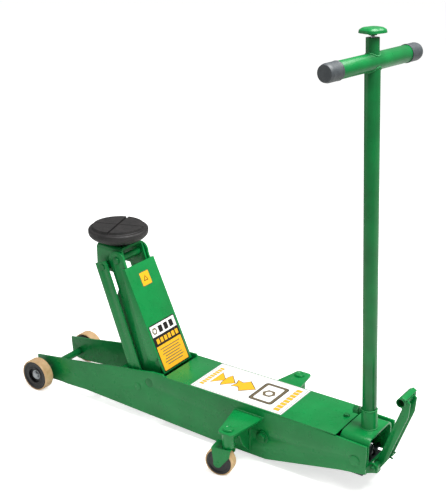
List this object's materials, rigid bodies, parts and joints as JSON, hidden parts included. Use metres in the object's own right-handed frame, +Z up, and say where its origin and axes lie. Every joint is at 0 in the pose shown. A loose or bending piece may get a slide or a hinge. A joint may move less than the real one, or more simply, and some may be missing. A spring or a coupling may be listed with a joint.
{
  "type": "hydraulic trolley jack",
  "caption": "Long-chassis hydraulic trolley jack with a T-handle, foot pump pedal, swivel casters and a rubber-faced saddle.",
  "frame": {"origin": "middle of the bounding box in X and Y, on the floor under the wheels in Z", "axes": "+X runs from the saddle end to the handle and pedal end, +Y is the far side of the picture's view, +Z is up"},
  "size_m": [1.1131, 0.382, 1.0648],
  "materials": {
    "green_paint": "gloss enamel over sheet steel",
    "steel": "zinc-plated or machined steel",
    "cast_steel": "dark machined casting",
    "pad_rubber": "matt black rubber",
    "cup_paint": "satin black paint",
    "cap_plastic": "dark grey moulded plastic",
    "wheel_tread": "tan polyurethane tread on a black hub",
    "cover_decal": null,
    "warning_decal": "printed vinyl sheet, plain bands only"
  },
  "bodies": {
    "chassis": {"side_plates": "green_paint", "cross_tubes": "green_paint", "top_cover": "green_paint", "cover_label": "cover_decal", "cover_screw": "green_paint", "front_axle": "steel", "axle_nuts": "steel", "caster_brackets": "green_paint", "arm_pivot_pin": "steel", "rod_pivot_bolts": "steel", "reservoir": "green_paint", "cylinder_tube": "steel", "cylinder_gland": "cast_steel", "unit_clamp": "green_paint", "unit_bolts": "steel", "pump_block": "cast_steel", "pump_barrels": "steel", "yoke_pins": "steel", "pedal_bracket": "green_paint", "pedal_pin": "steel"},
    "lift_arm": {"arm_channel": "green_paint", "arm_plates": "green_paint", "arm_hub": "green_paint", "lever_pin": "steel", "arm_labels": "warning_decal", "saddle_pivot_pin": "steel"},
    "saddle_bracket_body": {"saddle_bracket": "green_paint", "rod_bolts": "steel"},
    "saddle": {"saddle_cup": "cup_paint", "saddle_pad": "pad_rubber"},
    "rod_near": {"radius_rod_near": "green_paint"},
    "rod_far": {"radius_rod_far": "green_paint"},
    "ram_body": {"ram": "steel", "crosshead": "cast_steel"},
    "handle": {"handle_yoke": "green_paint", "pump_roller": "steel", "clamp_bolt": "green_paint", "handle_tube": "green_paint", "t_bar": "green_paint", "grip_caps": "cap_plastic"},
    "release": {"release_rod": "steel", "release_knob": "green_paint"},
    "valve_spindle": {"release_spindle": "steel"},
    "hand_piston": {"hand_plunger": "steel", "hand_plunger_spring": "steel"},
    "pedal": {"pedal_lever": "green_paint", "pedal_crossbar": "green_paint", "pedal_tread": "green_paint", "pedal_bolts": "steel"},
    "foot_piston": {"foot_plunger": "steel", "foot_plunger_spring": "steel"},
    "wheel_near": {"front_wheel_near": "wheel_tread"},
    "wheel_far": {"front_wheel_far": "wheel_tread"},
    "caster_near": {"caster_fork_near": "green_paint", "caster_bolts_near": "steel"},
    "caster_far": {"caster_fork_far": "green_paint", "caster_bolts_far": "steel"},
    "roller_near": {"caster_wheel_near": "wheel_tread"},
    "roller_far": {"caster_wheel_far": "wheel_tread"}
  },
  "joints": [
    {"name": "lift", "type": "hinge", "parent": "chassis", "child": "lift_arm", "pos_m": [-0.14362, 0, 0.114], "axis": [0, 1, 0], "range_deg": [-72.4, 5]},
    {"name": "saddle_level", "type": "hinge", "parent": "lift_arm", "child": "saddle_bracket_body", "pos_m": [-0.25867, 0, 0.42009], "axis": [0, 1, 0], "range_deg": [-5.2, 72.6]},
    {"name": "saddle_swivel", "type": "hinge", "parent": "saddle_bracket_body", "child": "saddle", "pos_m": [-0.29168, 0, 0.45109], "axis": [0, 0, 1], "continuous": true},
    {"name": "rod_near_swing", "type": "hinge", "parent": "chassis", "child": "rod_near", "pos_m": [-0.18162, 0, 0.092], "axis": [0, 1, 0], "range_deg": [-72.6, 5.2]},
    {"name": "rod_far_swing", "type": "hinge", "parent": "chassis", "child": "rod_far", "pos_m": [-0.18162, 0, 0.092], "axis": [0, 1, 0], "range_deg": [-72.6, 5.2]},
    {"name": "ram_stroke", "type": "slide", "parent": "chassis", "child": "ram_body", "axis": [-1, 0, 0], "range_m": [-0.0697, 0.0053]},
    {"name": "handle_pump", "type": "hinge", "parent": "chassis", "child": "handle", "pos_m": [0.45288, 0, 0.0935], "axis": [0, 1, 0], "range_deg": [-10, 15]},
    {"name": "release_turn", "type": "hinge", "parent": "handle", "child": "release", "pos_m": [0.45288, 0, 0.0935], "axis": [-0.0471, 0, 0.9989], "range_deg": [0, 360]},
    {"name": "valve_turn", "type": "hinge", "parent": "chassis", "child": "valve_spindle", "pos_m": [0.45288, 0, 0.06], "axis": [0, 0, 1], "range_deg": [-0.5, 360.5]},
    {"name": "hand_pump_stroke", "type": "slide", "parent": "chassis", "child": "hand_piston", "axis": [-1, 0, 0], "range_m": [-0.0042, 0.0062]},
    {"name": "pedal_press", "type": "hinge", "parent": "chassis", "child": "pedal", "pos_m": [0.48738, 0, 0.07], "axis": [0, 1, 0], "range_deg": [0, 20], "stiffness_Nm_per_rad": 12, "springref_deg": -11.46},
    {"name": "foot_pump_stroke", "type": "slide", "parent": "chassis", "child": "foot_piston", "axis": [-1, 0, 0], "range_m": [0, 0.0078]},
    {"name": "wheel_near_spin", "type": "hinge", "parent": "chassis", "child": "wheel_near", "pos_m": [-0.51362, -0.105, 0.044], "axis": [0, 1, 0], "continuous": true},
    {"name": "wheel_far_spin", "type": "hinge", "parent": "chassis", "child": "wheel_far", "pos_m": [-0.51362, 0.105, 0.044], "axis": [0, 1, 0], "continuous": true},
    {"name": "caster_near_swivel", "type": "hinge", "parent": "chassis", "child": "caster_near", "pos_m": [0.16638, -0.166, 0.1], "axis": [0, 0, 1], "continuous": true},
    {"name": "caster_far_swivel", "type": "hinge", "parent": "chassis", "child": "caster_far", "pos_m": [0.16638, 0.166, 0.1], "axis": [0, 0, 1], "continuous": true},
    {"name": "roller_near_spin", "type": "hinge", "parent": "caster_near", "child": "roller_near", "pos_m": [0.14668, -0.16947, 0.036], "axis": [-0.1736, 0.9848, 0], "continuous": true},
    {"name": "roller_far_spin", "type": "hinge", "parent": "caster_far", "child": "roller_far", "pos_m": [0.14668, 0.16947, 0.036], "axis": [0.1736, 0.9848, 0], "continuous": true}
  ],
  "couplings": [
    {"joint": "saddle_level", "follows": "lift", "ratio": -1},
    {"joint": "rod_near_swing", "follows": "lift", "ratio": 1},
    {"joint": "rod_far_swing", "follows": "lift", "ratio": 1},
    {"joint": "ram_stroke", "follows": "lift", "m_per_rad": 0.0548},
    {"joint": "hand_pump_stroke", "follows": "handle_pump", "m_per_rad": 0.022},
    {"joint": "valve_turn", "follows": "release_turn", "ratio": 1},
    {"joint": "foot_pump_stroke", "follows": "pedal_press", "m_per_rad": 0.021}
  ]
}
